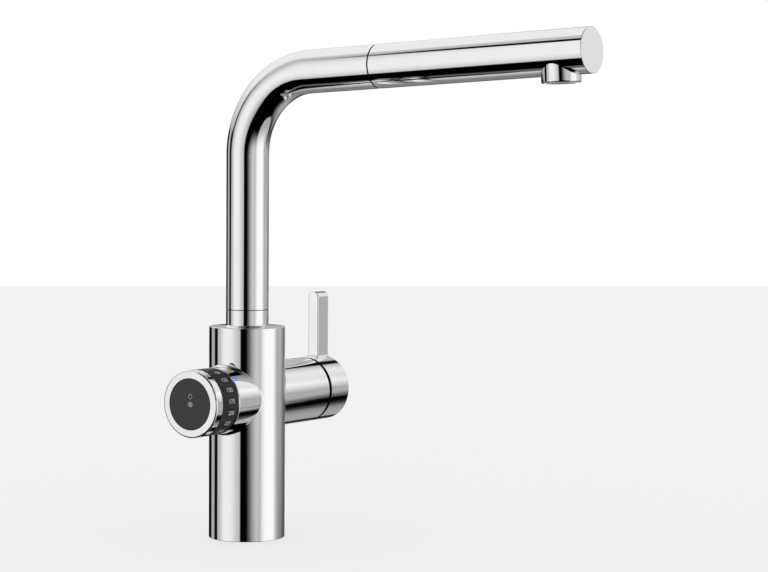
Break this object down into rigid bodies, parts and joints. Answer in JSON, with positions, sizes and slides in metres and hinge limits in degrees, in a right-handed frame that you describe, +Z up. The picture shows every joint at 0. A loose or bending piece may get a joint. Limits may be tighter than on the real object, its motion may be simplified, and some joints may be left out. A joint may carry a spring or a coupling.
{
  "type": "kitchen mixer tap",
  "caption": "Single-hole kitchen mixer tap with a swivelling spout, a pull-out head, a side dial with a push button and a lever valve on the other side.",
  "frame": {"origin": "on the upright axis of the body, in the plane of the worktop", "axes": "+Z up, the spout points along -Y, the dial is on the -X side and the lever valve on the +X side"},
  "size_m": [0.1463, 0.2817, 0.4179],
  "materials": {
    "chrome": "polished chrome plating on brass",
    "steel": "plain stainless steel",
    "brass": "machined brass",
    "copper": "drawn copper tube",
    "rubber": "black rubber",
    "black_plastic": "moulded black plastic",
    "grey_plastic": "moulded grey plastic",
    "white_plastic": "moulded white plastic",
    "black_ring": "satin black with printed numbers",
    "dark_glass": "dark glass with a printed back",
    "blue_lens": "lit blue light guide",
    "blue_mark": "blue enamel",
    "red_mark": "red enamel",
    "hose": "braided sleeve over a rubber hose",
    "disc_ceramic": "lapped ceramic",
    "circuit_board": "green lacquered board",
    "magnet": "sintered magnet"
  },
  "bodies": {
    "root": {"body_shell": "chrome", "base_seal": "rubber", "base_plate": "brass", "shank": "brass", "rubber_washer": "rubber", "steel_washer": "steel", "fixing_nut": "brass", "led_window": "blue_lens", "cold_mark": "blue_mark", "hot_mark": "red_mark", "swivel_collar": "chrome", "stop_pin": "steel", "lower_bush": "white_plastic", "upper_bush": "white_plastic", "swivel_washer": "black_plastic", "riser_hot": "copper", "riser_mixed": "copper", "riser_cold": "copper", "valve_seat": "brass", "seat_seals": "rubber", "cartridge_body": "white_plastic", "fixed_disc": "disc_ceramic", "cartridge_nut": "brass", "dome_cover": "black_plastic", "dial_spindle": "black_plastic", "control_board": "circuit_board", "push_switch": "black_plastic", "button_spring": "steel", "dial_clip": "steel"},
    "spout": {"spout_tube": "chrome", "spout_stem": "brass", "stem_o_rings": "rubber", "stem_clip": "steel", "mouth_guide": "black_plastic", "spray_hose": "hose", "hose_tail": "brass"},
    "head": {"head_shell": "chrome", "head_neck": "grey_plastic", "hose_ferrule": "brass", "check_valve": "white_plastic", "flow_tube": "grey_plastic", "outlet_core": "grey_plastic", "aerator_housing": "chrome", "aerator_insert": "grey_plastic", "aerator_seal": "rubber"},
    "dial": {"number_ring": "black_ring", "knob_rim": "chrome", "knob_hub": "black_plastic", "magnet_ring": "magnet"},
    "button": {"button_glass": "dark_glass", "button_carrier": "black_plastic"},
    "temperature": {"cartridge_rotor": "white_plastic", "moving_disc": "disc_ceramic", "pivot_pin": "steel"},
    "lever": {"lever_cap": "chrome", "lever_screw": "steel", "lever_plug": "grey_plastic", "lever_stem": "brass", "lever_bar": "chrome"}
  },
  "joints": [
    {"name": "spout_swivel", "type": "hinge", "parent": "root", "child": "spout", "pos_m": [0, 0, 0.15], "axis": [0, 0, 1], "range_deg": [-90, 90]},
    {"name": "head_pull_out", "type": "slide", "parent": "spout", "child": "head", "axis": [0, -0.9991, 0.0427], "range_m": [0, 0.25]},
    {"name": "dial_turn", "type": "hinge", "parent": "root", "child": "dial", "pos_m": [-0.045, 0, 0.0925], "axis": [1, 0, 0], "continuous": true},
    {"name": "button_press", "type": "slide", "parent": "root", "child": "button", "axis": [1, 0, 0], "range_m": [0, 0.0008], "stiffness_N_per_m": 800, "deforming": ["button_spring"]},
    {"name": "mix_temperature", "type": "hinge", "parent": "root", "child": "temperature", "pos_m": [0.0505, 0, 0.0925], "axis": [1, 0, 0], "range_deg": [-45, 45]},
    {"name": "lever_tilt", "type": "hinge", "parent": "temperature", "child": "lever", "pos_m": [0.0505, 0, 0.0925], "axis": [0, 1, 0], "range_deg": [0, 20]}
  ]
}
